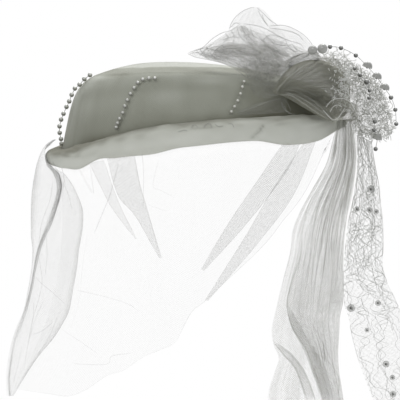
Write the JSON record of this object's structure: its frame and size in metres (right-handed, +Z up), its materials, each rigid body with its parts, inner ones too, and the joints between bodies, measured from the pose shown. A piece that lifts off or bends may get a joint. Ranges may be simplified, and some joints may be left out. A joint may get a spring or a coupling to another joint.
{
  "type": "veiled bridal hat",
  "caption": "Small oval bridal hat with a soft turned-down brim, a sheer face veil, a tulle bow and knot, long streamers and strings of pearls.",
  "frame": {"origin": "middle of the crown's opening, where the head sits", "axes": "+Z up as worn, the front of the hat and the face veil face -Y, +X is the viewer's right, where the bow is"},
  "size_m": [0.281, 0.199, 0.2769],
  "materials": {
    "crown_cloth": "matt ivory cloth under fine tulle",
    "brim_cloth": "matt ivory cloth under fine tulle",
    "veil_tulle": "sheer fine tulle",
    "bow_tulle": "layered fine tulle",
    "streamer_tulle": "gathered fine tulle",
    "coarse_net": "coarse crinkled net",
    "pearl": "pearl lustre",
    "spray_bead": "pearl grey on clear line"
  },
  "bodies": {
    "root": {"crown": "crown_cloth", "brim": "brim_cloth", "face_veil": "veil_tulle", "veil_fold_right_upper": "veil_tulle", "veil_fold_right_lower": "veil_tulle", "veil_fold_left_outer": "veil_tulle", "veil_fold_left_inner": "veil_tulle", "side_veil": "veil_tulle", "bow_loop_left": "bow_tulle", "bow_loop_top": "bow_tulle", "bow_loop_right": "bow_tulle", "knot": "bow_tulle", "knot_strap": "bow_tulle", "tulle_flap": "bow_tulle", "net_pouf": "coarse_net", "tulle_streamer": "streamer_tulle", "net_streamer": "coarse_net", "pearl_garland_left": "pearl", "pearl_garland_middle": "pearl", "pearl_garland_right": "pearl", "spray_outer": "spray_bead", "spray_inner": "spray_bead", "spray_lower": "spray_bead", "net_pearl_01": "pearl", "net_pearl_02": "pearl", "net_pearl_03": "pearl", "net_pearl_04": "pearl", "net_pearl_05": "pearl", "net_pearl_06": "pearl", "net_pearl_07": "pearl", "net_pearl_08": "pearl", "net_pearl_09": "pearl", "net_pearl_10": "pearl"}
  },
  "joints": []
}
